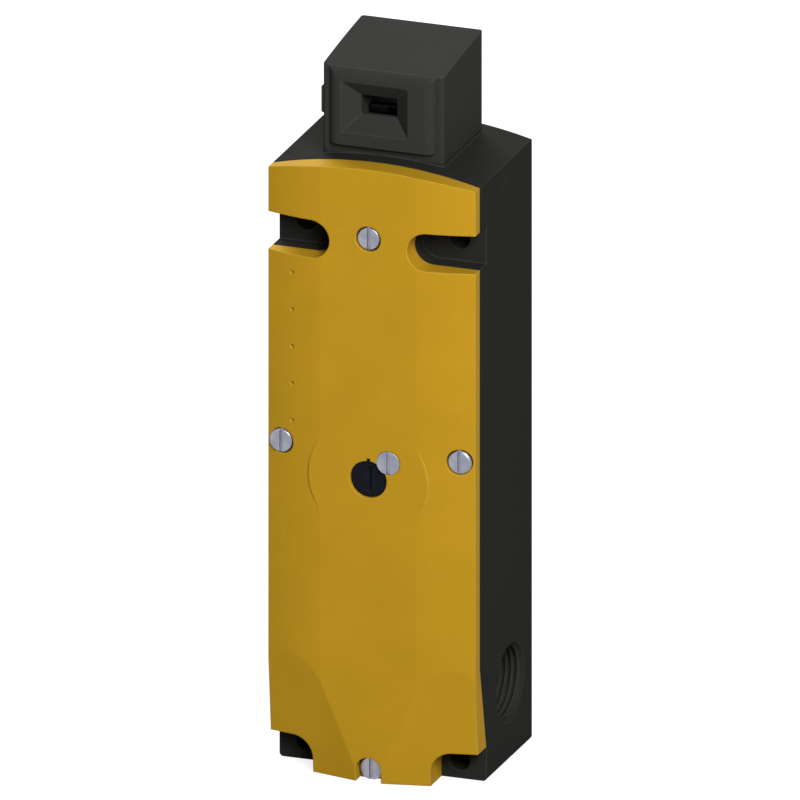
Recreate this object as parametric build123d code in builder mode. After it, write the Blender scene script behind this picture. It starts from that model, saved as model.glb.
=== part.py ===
from build123d import *
from math import cos, radians, sin
import os

# Safety interlock switch with a separate key, standing on its cable entry end.
# X runs across the front, -Y looks out of the front cover, +Z runs up to the head.
# The origin is the centre of the foot, half way between the back and the front.

# Driving dimensions of the case and its cover, in millimetres
case_width = 54.0
crown_height = 159.8
arch_rise = 3.4
case_depth = 43.3
cover_depth = 5.9
lug_set_back = 10.8
wall = 3.0
foot_corner = 1.0
overcut = 1.0
match_tolerance = 0.01
seam_bend_top = 31.0
seam_bend_bottom = 8.0

# Front of the cover: a flat strip that creases into two curved flanks
flat_half = 12.5
flank_drop = 2.8
flank_start_angle = 5.0
cover_wall = 3.3
facet_top_z = 25.0
facet_low_x = 4.0
facet_low_z = 5.0
facet_slope = 0.233
pad_radius = 15.6

# Fixing lugs, their notches and their holes
fixing_pitch_x = 40.0
fixing_low_z = 4.75
fixing_drop = 19.05
fixing_hole_radius = 2.7
notch_radius = 4.9
notch_end_x = 15.0
notch_below_hole = 0.85
foot_notch_x = 15.3
foot_notch_top = 9.0
foot_notch_corner = 5.3
lug_wall = 3.0

# Cover screws
screw_head_radius = 3.1
screw_head_height = 1.6
screw_head_edge = 0.4
screw_shank_radius = 1.95
screw_hole_radius = 2.0
screw_tip_clearance = 0.5
screw_slot_width = 0.9
screw_slot_depth = 0.7
screw_boss_radius = 4.6
head_recess_clearance = 0.2
top_screw_above_hole = 0.95
side_screw_inset = 3.8
side_screw_above_release = 6.8
foot_screw_z = 3.1
foot_screw_notch = 3.3
foot_head_set_back = 2.1

# Cable entries
entry_radius = 9.19
entry_chamfer = 0.9
entry_boss_radius = 12.0
entry_boss_depth = 8.0
entry_z = 20.1
entry_depth = 15.5

# Release disc and its seal screw
release_drop = 80.8
release_radius = 4.75
release_recess = 1.0
release_disc_height = 2.0
release_shaft_radius = 3.0
release_boss_radius = 6.5
release_boss_length = 5.0
running_clearance = 0.05
seal_screw_x = 5.2
seal_screw_above_release = 4.9
seal_head_radius = 3.0
seal_head_height = 0.95
seal_shank_radius = 1.2
seal_screw_length = 4.0
index_width = 1.0
index_height = 0.5

# Row of dimples on the left flank
dimple_x = -20.2
dimple_below_notch = 9.6
dimple_pitch = 9.67
dimple_count = 5
dimple_radius = 0.45
dimple_depth = 0.5

# Flat gasket in the seam
gasket_inset = 1.0
gasket_width = 1.6
gasket_height = 1.0
gasket_screw_inset = 1.0

# Head: its block stands on a seat of the same outline
head_half = 15.75
head_depth = 28.1
head_back_inset = 4.3
head_corner = 0.8

# Planes worked out from the depths
back_y = case_depth / 2
front_y = back_y - case_depth
seam_y = front_y + cover_depth
lug_y = front_y + lug_set_back
seam_depth = back_y - seam_y
flank_y = front_y + flank_drop
half_width = case_width / 2
side_height = crown_height - arch_rise
fixing_high_z = crown_height - fixing_drop
fixing_pitch_z = fixing_high_z - fixing_low_z
notch_z = fixing_high_z - notch_below_hole
top_screw_z = fixing_high_z + top_screw_above_hole
release_z = crown_height - release_drop
side_screw_z = release_z + side_screw_above_release
seal_screw_z = release_z + seal_screw_above_release
dimple_top_z = notch_z - dimple_below_notch
side_screw_x = half_width - side_screw_inset
entry_y = back_y - entry_depth
head_back_y = back_y - head_back_inset
head_front_y = head_back_y - head_depth
head_axis_y = (head_back_y + head_front_y) / 2

# Arc of the flank, which starts from the crease at a small angle
flank_start = radians(flank_start_angle)
flank_run = half_width - flat_half
flank_lean = flank_drop * cos(flank_start) - flank_run * sin(flank_start)
flank_radius = (flank_run**2 + flank_drop**2) / (2 * flank_lean)


def facing_front(y):
    """A plane square to Y at this depth, whose normal looks out of the front."""
    return Plane.XZ.offset(-y)


def flank_surface(x):
    """Depth of the curved front at this distance from the middle."""
    across = max(abs(x) - flat_half, 0) + flank_radius * sin(flank_start)
    return front_y + flank_radius * cos(flank_start) - (flank_radius**2 - across**2) ** 0.5


def case_outline(inset=0.0):
    """Front view of the case: straight sides under a low arch."""
    x = half_width - inset
    with BuildSketch(Plane.XY, mode=Mode.PRIVATE) as outline:
        with BuildLine():
            arch = ThreePointArc(
                (x, side_height - inset), (0, crown_height - inset), (-x, side_height - inset)
            )
            Polyline(arch @ 1, (-x, inset), (x, inset), arch @ 0)
        make_face()
        feet = outline.vertices().group_by(Axis.Y)[0]
        fillet(feet, foot_corner)
    return outline.sketch


def notch_outline(side, margin=0.0):
    """Slot open to one side, in front of an upper fixing lug."""
    radius = notch_radius + margin
    reach = half_width + overcut - notch_end_x
    with BuildSketch(Plane.XY, mode=Mode.PRIVATE) as outline:
        with Locations((side * notch_end_x, notch_z)):
            Circle(radius)
        with Locations((side * (notch_end_x + reach / 2), notch_z)):
            Rectangle(reach, 2 * radius)
    return outline.sketch


def foot_notch_outline(side, margin=0.0):
    """Corner cut away in front of a lower fixing lug."""
    width = half_width + overcut - foot_notch_x + margin
    height = foot_notch_top + overcut + margin
    with BuildSketch(Plane.XY, mode=Mode.PRIVATE) as outline:
        middle_x = side * (foot_notch_x - margin + width / 2)
        with Locations((middle_x, foot_notch_top + margin - height / 2)):
            Rectangle(width, height)
        inner = outline.vertices().group_by(Axis.Y)[-1].sort_by(lambda v: abs(v.X))[0]
        fillet(inner, foot_notch_corner)
    return outline.sketch


def seam_profile(front_edge, inset=0.0):
    """Side view of the room in front of the seam, which bends back near the foot."""
    with BuildSketch(Plane.XY, mode=Mode.PRIVATE) as profile:
        with BuildLine():
            Polyline(
                (front_edge, -overcut),
                (lug_y - inset, -overcut),
                (lug_y - inset, seam_bend_bottom),
                (seam_y - inset, seam_bend_top),
                (seam_y - inset, crown_height + overcut),
                (front_edge, crown_height + overcut),
                close=True,
            )
        make_face()
    return profile.sketch


def slotted_screw(x, z, head_y, length):
    """Slotted flat head screw that points to the back, with its head's face at this depth."""
    with BuildPart() as screw:
        with BuildSketch(facing_front(head_y + screw_head_height)):
            with Locations((x, z)):
                Circle(screw_head_radius)
        extrude(amount=screw_head_height)
        rim = screw.edges().filter_by(GeomType.CIRCLE).sort_by(Axis.Y)[0]
        chamfer(rim, screw_head_edge)
        with BuildSketch(facing_front(head_y)):
            with Locations((x, z)):
                Rectangle(screw_slot_width, 2 * screw_head_radius)
        extrude(amount=-screw_slot_depth, mode=Mode.SUBTRACT)
        with BuildSketch(facing_front(head_y + screw_head_height)):
            with Locations((x, z)):
                Circle(screw_shank_radius)
        extrude(amount=-length)
    return screw.part


os.makedirs("parts", exist_ok=True)


# Housing: a moulded case, open at the front, with fixing lugs, bosses and cable entries
turret_bore_radius = 11.0
turret_boss_radius = 14.0
turret_boss_height = 9.8
turret_boss_bottom = crown_height - turret_boss_height
seat_proud = 0.2
seat_top = crown_height + seat_proud
shelf_reach = 6.3
top_boss_half = 8.6
boss_clearance = 2.75
boss_floor = 1.0
foot_thread_depth = 6.5
post_radius = 3.5
post_height = 1.6
post_hole_radius = 1.1
post_inset = 4.0
post_foot_inset = 3.5
deck_drop = 42.3
deck_z = crown_height - deck_drop
chassis_rise = 13.5
chassis_fall = 61.5
chassis_top = deck_z + chassis_rise
chassis_bottom = deck_z - chassis_fall
post_pitch_z = chassis_top - post_inset - chassis_bottom - post_foot_inset
post_middle_z = (chassis_top - post_inset + chassis_bottom + post_foot_inset) / 2
chassis_inset = 3.0
room_half = half_width - wall
chassis_half = room_half - chassis_inset
post_pitch_x = 2 * (chassis_half - post_inset)
room_back_y = back_y - wall
chassis_back_y = room_back_y - post_height
shelf_front_y = head_axis_y - shelf_reach
boss_depth = shelf_front_y - boss_clearance - seam_y
thread_depth = boss_depth - boss_floor
screw_places = (
    (0, top_screw_z),
    (-side_screw_x, side_screw_z),
    (side_screw_x, side_screw_z),
)

# Gasket: a flat ring along the seam, which passes inside the lugs and the cover screws
def sealed_outline(inset):
    """Front view of the sealed room, drawn in from every edge and screw by this much."""
    around_screw = screw_hole_radius - gasket_inset + gasket_screw_inset + inset
    with BuildSketch(Plane.XY, mode=Mode.PRIVATE) as outline:
        add(case_outline(inset))
        for side in (-1, 1):
            add(notch_outline(side, inset), mode=Mode.SUBTRACT)
            add(foot_notch_outline(side, inset), mode=Mode.SUBTRACT)
        with Locations((-side_screw_x, side_screw_z), (side_screw_x, side_screw_z), (0, foot_screw_z)):
            Circle(around_screw, mode=Mode.SUBTRACT)
    return outline.sketch


with BuildPart() as cover_gasket:
    with BuildSketch(facing_front(back_y)):
        add(sealed_outline(gasket_inset))
        add(sealed_outline(gasket_inset + gasket_width), mode=Mode.SUBTRACT)
    extrude(amount=case_depth)
    with BuildSketch(Plane.YZ):
        add(seam_profile(front_y - overcut, -gasket_height))
        add(seam_profile(front_y - 2 * overcut), mode=Mode.SUBTRACT)
    extrude(amount=half_width + overcut, both=True, mode=Mode.INTERSECT)

cover_gasket.part.label = "cover_gasket"
export_step(cover_gasket.part, "parts/cover_gasket.step")


with BuildPart() as housing:
    with BuildSketch(facing_front(back_y)):
        add(case_outline())
    extrude(amount=seam_depth)
    with BuildSketch(facing_front(room_back_y)):
        add(case_outline(wall))
        for side in (-1, 1):
            add(notch_outline(side, lug_wall), mode=Mode.SUBTRACT)
            add(foot_notch_outline(side, lug_wall), mode=Mode.SUBTRACT)
        with Locations((0, foot_screw_z)):
            Circle(screw_boss_radius, mode=Mode.SUBTRACT)
    extrude(amount=seam_depth, mode=Mode.SUBTRACT)
    # Bosses inside the side walls for the side screws
    with BuildSketch(facing_front(seam_y)):
        add(case_outline())
        with BuildSketch(Plane.XY, mode=Mode.INTERSECT):
            with Locations((-side_screw_x, side_screw_z), (side_screw_x, side_screw_z)):
                Circle(screw_boss_radius)
    extrude(amount=-boss_depth)
    # Web between the two upper lugs, which takes the top cover screw
    with BuildSketch(facing_front(seam_y)):
        with Locations((0, notch_z)):
            Rectangle(2 * top_boss_half, 2 * (notch_radius + lug_wall))
    extrude(amount=-boss_depth)
    # Turret boss and the square seat that the head turns on
    with BuildSketch(Plane.XY.offset(turret_boss_bottom)):
        with Locations((0, head_axis_y)):
            Circle(turret_boss_radius)
    extrude(amount=crown_height - wall / 2 - turret_boss_bottom)
    with BuildSketch(Plane.XY.offset(crown_height - wall)):
        with Locations((0, head_axis_y)):
            RectangleRounded(2 * head_half, head_depth, head_corner)
    extrude(amount=seat_top - crown_height + wall)
    with BuildSketch(Plane.XY.offset(seat_top)):
        with Locations((0, head_axis_y)):
            Circle(turret_bore_radius)
    extrude(amount=turret_boss_bottom - seat_top, mode=Mode.SUBTRACT)
    # Cable entries: one in each side and one in the foot
    for side in (-1, 1):
        with BuildSketch(Plane.YZ.offset(side * half_width)):
            with Locations((entry_y, entry_z)):
                Circle(entry_boss_radius)
        extrude(amount=-side * entry_boss_depth)
    with BuildSketch(Plane.XY):
        with Locations((0, entry_y)):
            Circle(entry_boss_radius)
    extrude(amount=entry_boss_depth)
    for side in (-1, 1):
        with BuildSketch(Plane.YZ.offset(side * half_width)):
            with Locations((entry_y, entry_z)):
                Circle(entry_radius)
        extrude(amount=-side * entry_boss_depth, mode=Mode.SUBTRACT)
    with BuildSketch(Plane.XY):
        with Locations((0, entry_y)):
            Circle(entry_radius)
    extrude(amount=entry_boss_depth, mode=Mode.SUBTRACT)
    entry_rims = housing.edges().filter_by(
        lambda e: e.geom_type == GeomType.CIRCLE
        and abs(e.radius - entry_radius) < match_tolerance
        and (
            abs(e.arc_center.Z) < match_tolerance
            or abs(abs(e.arc_center.X) - half_width) < match_tolerance
        )
    )
    chamfer(entry_rims, entry_chamfer)
    # Posts that carry the inner chassis
    with BuildSketch(facing_front(room_back_y)):
        with Locations((0, post_middle_z)):
            with GridLocations(post_pitch_x, post_pitch_z, 2, 2):
                Circle(post_radius)
                Circle(post_hole_radius, mode=Mode.SUBTRACT)
    extrude(amount=post_height)
    # The seam bends back near the foot, and the upper lugs lie in pockets open to the sides
    with BuildSketch(Plane.YZ):
        add(seam_profile(front_y - overcut))
    extrude(amount=half_width + overcut, both=True, mode=Mode.SUBTRACT)
    with BuildSketch(facing_front(lug_y)):
        for side in (-1, 1):
            add(notch_outline(side))
    extrude(amount=seam_depth, mode=Mode.SUBTRACT)
    # Fixing holes and the blind holes for the cover screws
    with BuildSketch(facing_front(back_y)):
        with Locations((0, fixing_low_z + fixing_pitch_z / 2)):
            with GridLocations(fixing_pitch_x, fixing_pitch_z, 2, 2):
                Circle(fixing_hole_radius)
    extrude(amount=seam_depth, mode=Mode.SUBTRACT)
    with BuildSketch(facing_front(seam_y)):
        with Locations(*screw_places):
            Circle(screw_hole_radius)
    extrude(amount=-thread_depth, mode=Mode.SUBTRACT)
    with BuildSketch(facing_front(lug_y)):
        with Locations((0, foot_screw_z)):
            Circle(screw_hole_radius)
    extrude(amount=-foot_thread_depth, mode=Mode.SUBTRACT)
    add(cover_gasket.part, mode=Mode.SUBTRACT)

housing.part.label = "housing"
export_step(housing.part, "parts/housing.step")

# Cover: a moulded front with curved flanks, slanted foot facets, notches and recesses
pocket_inset = 4.5
pocket_half = half_width - pocket_inset
pocket_bottom_z = 33.0
pocket_notch_margin = 4.0
pocket_top_z = notch_z - notch_radius - pocket_notch_margin
foot_pocket_inset = 8.0
foot_pocket_half = half_width - foot_pocket_inset
foot_pocket_low_z = 13.0
foot_pocket_wall = 6.2
pocket_screw_margin = 1.2
recess_clearance = 0.1
head_set_back = 0.3
disc_face_y = front_y + release_recess
disc_back_y = disc_face_y + release_disc_height
release_boss_back_y = disc_back_y + release_boss_length
recess_radius = screw_head_radius + head_recess_clearance
top_head_y = front_y + head_set_back
side_head_y = flank_surface(side_screw_x) - head_set_back
foot_head_y = front_y + foot_head_set_back
seam_room = seam_profile(front_y - overcut)


def facet_plane(side):
    """Slanted plane that takes off the lower corner of the front on one side."""
    run_x = flat_half - facet_low_x
    run_z = facet_top_z - facet_low_z
    length = (run_x**2 + run_z**2) ** 0.5
    across = side * facet_slope * run_z / length
    down = -facet_slope * run_x / length
    return Plane(origin=(side * flat_half, front_y, facet_top_z), z_dir=(across, -1, down))


with BuildPart() as cover:
    with BuildSketch(Plane.XY):
        with BuildLine():
            lean = (cos(flank_start), sin(flank_start))
            right = TangentArc((flat_half, front_y), (half_width, flank_y), tangent=lean)
            left = TangentArc(
                (-flat_half, front_y), (-half_width, flank_y), tangent=(-lean[0], lean[1])
            )
            Line(left @ 0, right @ 0)
            Polyline(right @ 1, (half_width, lug_y), (-half_width, lug_y), left @ 1)
        make_face()
    extrude(amount=crown_height)
    # Round pad around the release disc, level with the flat strip
    with BuildSketch(facing_front(seam_y)):
        with Locations((0, release_z)):
            Circle(pad_radius)
    extrude(amount=seam_y - front_y)
    with BuildSketch(facing_front(lug_y)):
        add(case_outline())
    extrude(amount=case_depth, mode=Mode.INTERSECT)
    for side in (-1, 1):
        with BuildSketch(facet_plane(side)):
            Rectangle(2 * case_width, 2 * case_width)
        extrude(amount=wall + flank_drop, mode=Mode.SUBTRACT)
    with BuildSketch(Plane.YZ):
        add(seam_room)
    extrude(amount=half_width + overcut, both=True, mode=Mode.INTERSECT)
    # Hollow back, deep behind the flat strip and shallow behind the facets
    with BuildSketch(facing_front(front_y + cover_wall)):
        with Locations((0, (pocket_top_z + pocket_bottom_z) / 2)):
            Rectangle(2 * pocket_half, pocket_top_z - pocket_bottom_z)
        with Locations((-side_screw_x, side_screw_z), (side_screw_x, side_screw_z)):
            Circle(screw_boss_radius + pocket_screw_margin, mode=Mode.SUBTRACT)
        with Locations((0, release_z)):
            Circle(release_boss_radius, mode=Mode.SUBTRACT)
    extrude(amount=-case_depth, mode=Mode.SUBTRACT)
    with BuildSketch(facing_front(front_y + foot_pocket_wall)):
        with Locations((0, (pocket_bottom_z + foot_pocket_low_z) / 2)):
            Rectangle(2 * foot_pocket_half, pocket_bottom_z - foot_pocket_low_z)
    extrude(amount=-case_depth, mode=Mode.SUBTRACT)
    # Boss behind the release disc
    with BuildSketch(facing_front(release_boss_back_y)):
        with Locations((0, release_z)):
            Circle(release_boss_radius)
    extrude(amount=release_boss_back_y - disc_back_y)
    # Lug notches and the notch for the foot screw
    with BuildSketch(facing_front(lug_y)):
        for side in (-1, 1):
            add(notch_outline(side))
            add(foot_notch_outline(side))
    extrude(amount=case_depth, mode=Mode.SUBTRACT)
    with BuildSketch(facing_front(foot_head_y + screw_head_height)):
        with Locations((0, foot_screw_z)):
            Circle(foot_screw_notch)
        with Locations((0, 0)):
            Rectangle(2 * foot_screw_notch, 2 * foot_screw_z)
    extrude(amount=case_depth, mode=Mode.SUBTRACT)
    # Recesses for the screw heads and holes for the shanks
    with BuildSketch(facing_front(top_head_y + screw_head_height)):
        with Locations((0, top_screw_z)):
            Circle(recess_radius)
    extrude(amount=case_depth, mode=Mode.SUBTRACT)
    with BuildSketch(facing_front(side_head_y + screw_head_height)):
        with Locations((-side_screw_x, side_screw_z), (side_screw_x, side_screw_z)):
            Circle(recess_radius)
    extrude(amount=case_depth, mode=Mode.SUBTRACT)
    with BuildSketch(facing_front(lug_y)):
        with Locations(*screw_places, (0, foot_screw_z)):
            Circle(screw_hole_radius)
    extrude(amount=case_depth, mode=Mode.SUBTRACT)
    # Recess and bore for the release disc, with an index notch at the top
    with BuildSketch(facing_front(disc_back_y)):
        with Locations((0, release_z)):
            Circle(release_radius + recess_clearance)
        with Locations((0, release_z + release_radius + index_height / 2)):
            Rectangle(index_width, 2 * index_height)
    extrude(amount=case_depth, mode=Mode.SUBTRACT)
    with BuildSketch(facing_front(release_boss_back_y)):
        with Locations((0, release_z)):
            Circle(release_shaft_radius + running_clearance)
    extrude(amount=case_depth, mode=Mode.SUBTRACT)
    # Recess and hole for the seal screw, whose head laps over the disc
    with BuildSketch(facing_front(front_y + seal_head_height)):
        with Locations((seal_screw_x, seal_screw_z)):
            Circle(seal_head_radius + recess_clearance)
    extrude(amount=case_depth, mode=Mode.SUBTRACT)
    with BuildSketch(facing_front(front_y)):
        with Locations((seal_screw_x, seal_screw_z)):
            Circle(seal_shank_radius + running_clearance)
    extrude(amount=-case_depth, mode=Mode.SUBTRACT)
    # Row of small dimples on the left flank
    with BuildSketch(facing_front(flank_surface(dimple_x) + dimple_depth)):
        for step in range(dimple_count):
            with Locations((dimple_x, dimple_top_z - step * dimple_pitch)):
                Circle(dimple_radius)
    extrude(amount=case_depth, mode=Mode.SUBTRACT)

cover.part.label = "cover"
export_step(cover.part, "parts/cover.step")

# Cover screws and the seal screw
seam_end_y = seam_y + thread_depth
foot_end_y = lug_y + foot_thread_depth
cover_screw_heads = {
    "cover_screw_top": (0, top_screw_z, top_head_y, seam_end_y),
    "cover_screw_left": (-side_screw_x, side_screw_z, side_head_y, seam_end_y),
    "cover_screw_right": (side_screw_x, side_screw_z, side_head_y, seam_end_y),
    "cover_screw_foot": (0, foot_screw_z, foot_head_y, foot_end_y),
}
for name, (x, z, head_y, end_y) in cover_screw_heads.items():
    underside = head_y + screw_head_height
    piece = slotted_screw(x, z, head_y, end_y - underside - screw_tip_clearance)
    piece.label = name
    export_step(piece, f"parts/{name}.step")

with BuildPart() as seal_screw:
    with BuildSketch(facing_front(front_y + seal_head_height)):
        with Locations((seal_screw_x, seal_screw_z)):
            Circle(seal_head_radius)
    extrude(amount=seal_head_height)
    with BuildSketch(facing_front(front_y)):
        with Locations((seal_screw_x, seal_screw_z)):
            Rectangle(screw_slot_width, 2 * seal_head_radius)
    extrude(amount=-seal_head_height / 2, mode=Mode.SUBTRACT)
    with BuildSketch(facing_front(front_y + seal_head_height)):
        with Locations((seal_screw_x, seal_screw_z)):
            Circle(seal_shank_radius)
    extrude(amount=-seal_screw_length)

seal_screw.part.label = "seal_screw"
export_step(seal_screw.part, "parts/seal_screw.step")

# Release rotor: a slotted disc on a shaft, with a spiral lobe at its inner end
release_lift = 1.2
release_turn_angle = 90.0
lobe_radius = 3.1
lobe_margin = 0.5
slider_web = 2.0
slider_depth = 3.0
slider_back_y = shelf_front_y - slider_web
slider_y = (slider_back_y - slider_depth, slider_back_y)
lobe_front_y = slider_y[0] - lobe_margin
lobe_depth = slider_depth + lobe_margin
driver_slot_width = 1.2
driver_slot_length = 6.5
seal_groove_depth = 0.9
seal_cord = 1.2
seal_y = disc_back_y + release_boss_length / 2


def spiral(centre, start_radius, growth, start_angle, sweep, steps=8):
    """Points of a spiral about a centre, whose radius changes evenly with its angle."""
    points = []
    for step in range(steps + 1):
        share = step / steps
        angle = radians(start_angle + share * sweep)
        radius = start_radius + share * growth
        points.append((centre[0] + radius * cos(angle), centre[1] + radius * sin(angle)))
    return points


with BuildPart() as release_rotor:
    with BuildSketch(facing_front(disc_back_y)):
        with Locations((0, release_z)):
            Circle(release_radius)
    extrude(amount=release_disc_height)
    with BuildSketch(facing_front(disc_face_y)):
        with Locations((0, release_z)):
            Rectangle(driver_slot_width, driver_slot_length)
    extrude(amount=-release_disc_height / 2, mode=Mode.SUBTRACT)
    with BuildSketch(facing_front(disc_back_y)):
        with Locations((0, release_z)):
            Circle(release_shaft_radius)
    extrude(amount=disc_back_y - lobe_front_y - lobe_depth)
    with BuildSketch(facing_front(seal_y + seal_cord / 2)):
        with Locations((0, release_z)):
            Circle(release_shaft_radius)
            Circle(release_shaft_radius - seal_groove_depth, mode=Mode.SUBTRACT)
    extrude(amount=seal_cord, mode=Mode.SUBTRACT)
    with BuildSketch(facing_front(lobe_front_y + lobe_depth)):
        with BuildLine():
            rise = Spline(
                *spiral((0, release_z), lobe_radius, release_lift, 90, -release_turn_angle)
            )
            foot = Line(rise @ 1, (0, release_z - lobe_radius))
            ThreePointArc(foot @ 1, (-lobe_radius, release_z), rise @ 0)
        make_face()
    extrude(amount=lobe_depth)

release_rotor.part.label = "release_rotor"
export_step(release_rotor.part, "parts/release_rotor.step")

with BuildPart() as release_seal:
    with BuildSketch(facing_front(seal_y + seal_cord / 2)):
        with Locations((0, release_z)):
            Circle(release_shaft_radius)
            Circle(release_shaft_radius - seal_groove_depth, mode=Mode.SUBTRACT)
    extrude(amount=seal_cord)

release_seal.part.label = "release_seal"
export_step(release_seal.part, "parts/release_seal.step")

# Head casing: a block with a sloping top on a hollow turret
head_base_z = seat_top + running_clearance
head_height = 25.0
head_middle_drop = 1.3
head_brow_drop = 3.1
head_top_z = seat_top + head_height
head_middle_z = head_top_z - head_middle_drop
head_brow_z = head_top_z - head_brow_drop
turret_radius = turret_bore_radius - running_clearance
turret_hole_radius = 7.0
turret_overhang = 2.0
turret_bottom_z = turret_boss_bottom - turret_overhang
turret_ring_clearance = 0.1
turret_ring_top = turret_boss_bottom - turret_ring_clearance
turret_ring_height = 1.2
turret_groove_depth = 1.2
turret_seal_rise = 4.0
turret_seal_z = turret_boss_bottom + turret_seal_rise
turret_seal_cord = 2.0
turret_seal_depth = 1.5
chamber_half = 6.6
chamber_floor_drop = 9.0
chamber_ceiling_rise = 7.5
chamber_reach = 9.3
chamber_back_y = head_axis_y + chamber_reach
key_x = -1.6
key_mouth_half_x = 8.7
key_mouth_margin = 1.6
key_throat_half_x = 4.7
key_throat_half_z = 2.5
funnel_depth = 3.5
plate_spigot_depth = 3.0
plate_proud = 2.0
plate_half = 14.1
plate_base_rise = 2.1
plate_base_z = seat_top + plate_base_rise
plate_brow = 2.3
plate_corner = 3.0
spigot_half_x = 11.0
spigot_margin = 1.7
spigot_half_z = (head_brow_z - plate_base_z) / 2 - spigot_margin
key_mouth_half_z = spigot_half_z - key_mouth_margin
key_z = (head_brow_z + plate_base_z) / 2
chamber_floor_z = key_z - chamber_floor_drop
chamber_ceiling_z = key_z + chamber_ceiling_rise
plate_front_y = head_front_y - plate_proud
spigot_back_y = head_front_y + plate_spigot_depth
cam_shaft_drop = 2.0
cam_shaft_z = key_z - cam_shaft_drop
cam_shaft_radius = 2.0
cam_shaft_half = 11.0
side_plug_proud = 0.7
side_plug_depth = 1.5
side_plug_width = 7.0
side_plug_height = 7.0
side_plug_front_inset = 0.5
side_plug_rise = 0.5
side_plug_z = key_z + side_plug_rise
side_plug_y = head_front_y + side_plug_front_inset + side_plug_width / 2
side_plug_floor_x = side_plug_depth - head_half


def turret_ring(top_z, height, depth):
    """Ring shaped room just inside the turret's outer wall."""
    with BuildPart(mode=Mode.PRIVATE) as room:
        with BuildSketch(Plane.XY.offset(top_z)):
            with Locations((0, head_axis_y)):
                Circle(turret_radius)
                Circle(turret_radius - depth, mode=Mode.SUBTRACT)
        extrude(amount=-height)
    return room.part


with BuildPart() as head_casing:
    with BuildSketch(Plane.YZ):
        with BuildLine():
            head_slope = ThreePointArc(
                (head_back_y, head_top_z), (head_axis_y, head_middle_z), (head_front_y, head_brow_z)
            )
            Polyline(
                head_slope @ 1,
                (head_front_y, head_base_z),
                (head_back_y, head_base_z),
                head_slope @ 0,
            )
        make_face()
    extrude(amount=head_half, both=True)
    fillet(head_casing.edges().filter_by(Axis.Z), head_corner)
    with BuildSketch(Plane.XY.offset(head_base_z)):
        with Locations((0, head_axis_y)):
            Circle(turret_radius)
    extrude(amount=turret_bottom_z - head_base_z)
    with BuildSketch(Plane.XY.offset(turret_bottom_z)):
        with Locations((0, head_axis_y)):
            Circle(turret_hole_radius)
    extrude(amount=chamber_floor_z - turret_bottom_z, mode=Mode.SUBTRACT)
    # Chamber for the cam, and the window that the key plate plugs into
    with BuildSketch(Plane.YZ):
        with BuildLine():
            Polyline(
                (spigot_back_y, chamber_floor_z),
                (chamber_back_y, chamber_floor_z),
                (chamber_back_y, chamber_ceiling_z),
                (spigot_back_y, chamber_ceiling_z),
                close=True,
            )
        make_face()
    extrude(amount=chamber_half, both=True, mode=Mode.SUBTRACT)
    with BuildSketch(facing_front(spigot_back_y)):
        with Locations((key_x, key_z)):
            Rectangle(2 * spigot_half_x, 2 * spigot_half_z)
    extrude(amount=case_depth, mode=Mode.SUBTRACT)
    with BuildSketch(Plane.YZ.offset(-head_half)):
        with Locations((head_axis_y, cam_shaft_z)):
            Circle(cam_shaft_radius + running_clearance)
    extrude(amount=head_half + cam_shaft_half, mode=Mode.SUBTRACT)
    add(turret_ring(turret_ring_top, turret_ring_height, turret_groove_depth), mode=Mode.SUBTRACT)
    add(turret_ring(turret_seal_z, turret_seal_cord, turret_seal_depth), mode=Mode.SUBTRACT)
    # Shallow recess in the left side for the plug
    with BuildSketch(Plane.YZ.offset(side_plug_floor_x)):
        with Locations((side_plug_y, side_plug_z)):
            Rectangle(
                side_plug_width + 2 * running_clearance, side_plug_height + 2 * running_clearance
            )
    extrude(amount=-side_plug_depth, mode=Mode.SUBTRACT)

head_casing.part.label = "head_casing"
export_step(head_casing.part, "parts/head_casing.step")

# Plug that closes the unused recess in the head's left side
with BuildPart() as side_plug:
    with BuildSketch(Plane.YZ.offset(side_plug_floor_x)):
        with Locations((side_plug_y, side_plug_z)):
            Rectangle(side_plug_width, side_plug_height)
    extrude(amount=-side_plug_depth - side_plug_proud)
    chamfer(side_plug.faces().sort_by(Axis.X)[0].edges(), side_plug_proud / 2)

side_plug.part.label = "side_plug"
export_step(side_plug.part, "parts/side_plug.step")

# Key plate: the proud front of the head with a funnel that leads the key in
with BuildPart() as key_plate:
    with BuildSketch(Plane.XY.offset(plate_base_z)):
        with Locations((0, plate_front_y + head_depth / 2)):
            RectangleRounded(2 * plate_half, head_depth, plate_corner)
    extrude(amount=head_brow_z - plate_base_z)
    with BuildSketch(Plane.YZ):
        with BuildLine():
            brow = TangentArc(
                (head_front_y, head_brow_z),
                (plate_front_y, head_brow_z - plate_brow),
                tangent=head_slope % 1,
            )
            Polyline(
                brow @ 1, (plate_front_y, plate_base_z), (head_front_y, plate_base_z), brow @ 0
            )
        make_face()
    extrude(amount=plate_half, both=True, mode=Mode.INTERSECT)
    with BuildSketch(facing_front(spigot_back_y)):
        with Locations((key_x, key_z)):
            Rectangle(2 * spigot_half_x, 2 * spigot_half_z)
    extrude(amount=plate_spigot_depth)
    with BuildSketch(facing_front(plate_front_y)):
        with Locations((key_x, key_z)):
            Rectangle(2 * key_mouth_half_x, 2 * key_mouth_half_z)
    with BuildSketch(facing_front(plate_front_y + funnel_depth)):
        with Locations((key_x, key_z)):
            Rectangle(2 * key_throat_half_x, 2 * key_throat_half_z)
    loft(mode=Mode.SUBTRACT)
    with BuildSketch(facing_front(spigot_back_y)):
        with Locations((key_x, key_z)):
            Rectangle(2 * key_throat_half_x, 2 * key_throat_half_z)
    extrude(amount=plate_proud + plate_spigot_depth, mode=Mode.SUBTRACT)

key_plate.part.label = "key_plate"
export_step(key_plate.part, "parts/key_plate.step")


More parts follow.
